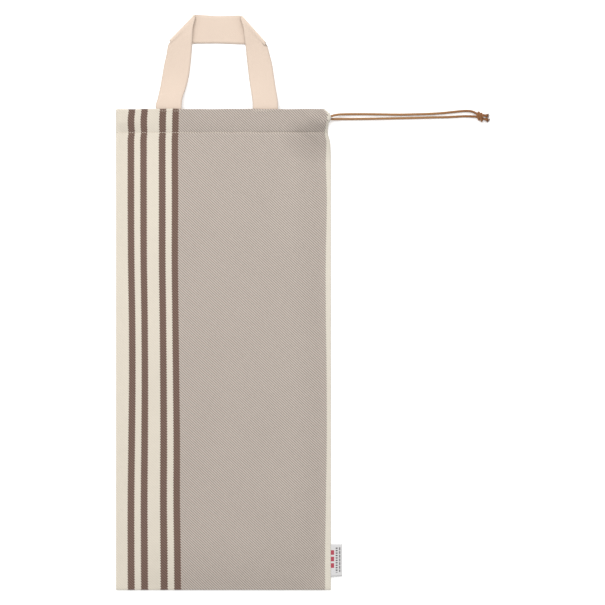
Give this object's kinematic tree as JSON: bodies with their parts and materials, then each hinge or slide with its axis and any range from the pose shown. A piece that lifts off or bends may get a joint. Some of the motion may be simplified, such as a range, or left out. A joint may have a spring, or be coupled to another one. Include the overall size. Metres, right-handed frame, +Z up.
{
  "type": "linen bread bag",
  "caption": "Long flat cloth bread bag with a webbing handle, a drawstring through the mouth's casing and a folded side label, lying flat.",
  "frame": {"origin": "middle of the bag's underside, on the surface it lies on", "axes": "+Y along the bag to its mouth and handle, +X to the seam where the drawstring comes out, +Z up from the surface"},
  "size_m": [0.5204, 0.8037, 0.0166],
  "materials": {
    "cloth": "matte twill, taupe and ecru, with brown stripes",
    "webbing": "matte cream cotton webbing",
    "label": "satin woven tape",
    "cord": "matte brown braid"
  },
  "bodies": {
    "root": {"bag_body": "cloth", "handle": "webbing", "label": "label", "drawstring_casing": "cord", "drawstring_front": "cord", "drawstring_back": "cord", "drawstring_knot": "cord", "drawstring_end_upper": "cord", "drawstring_end_lower": "cord"}
  },
  "joints": []
}
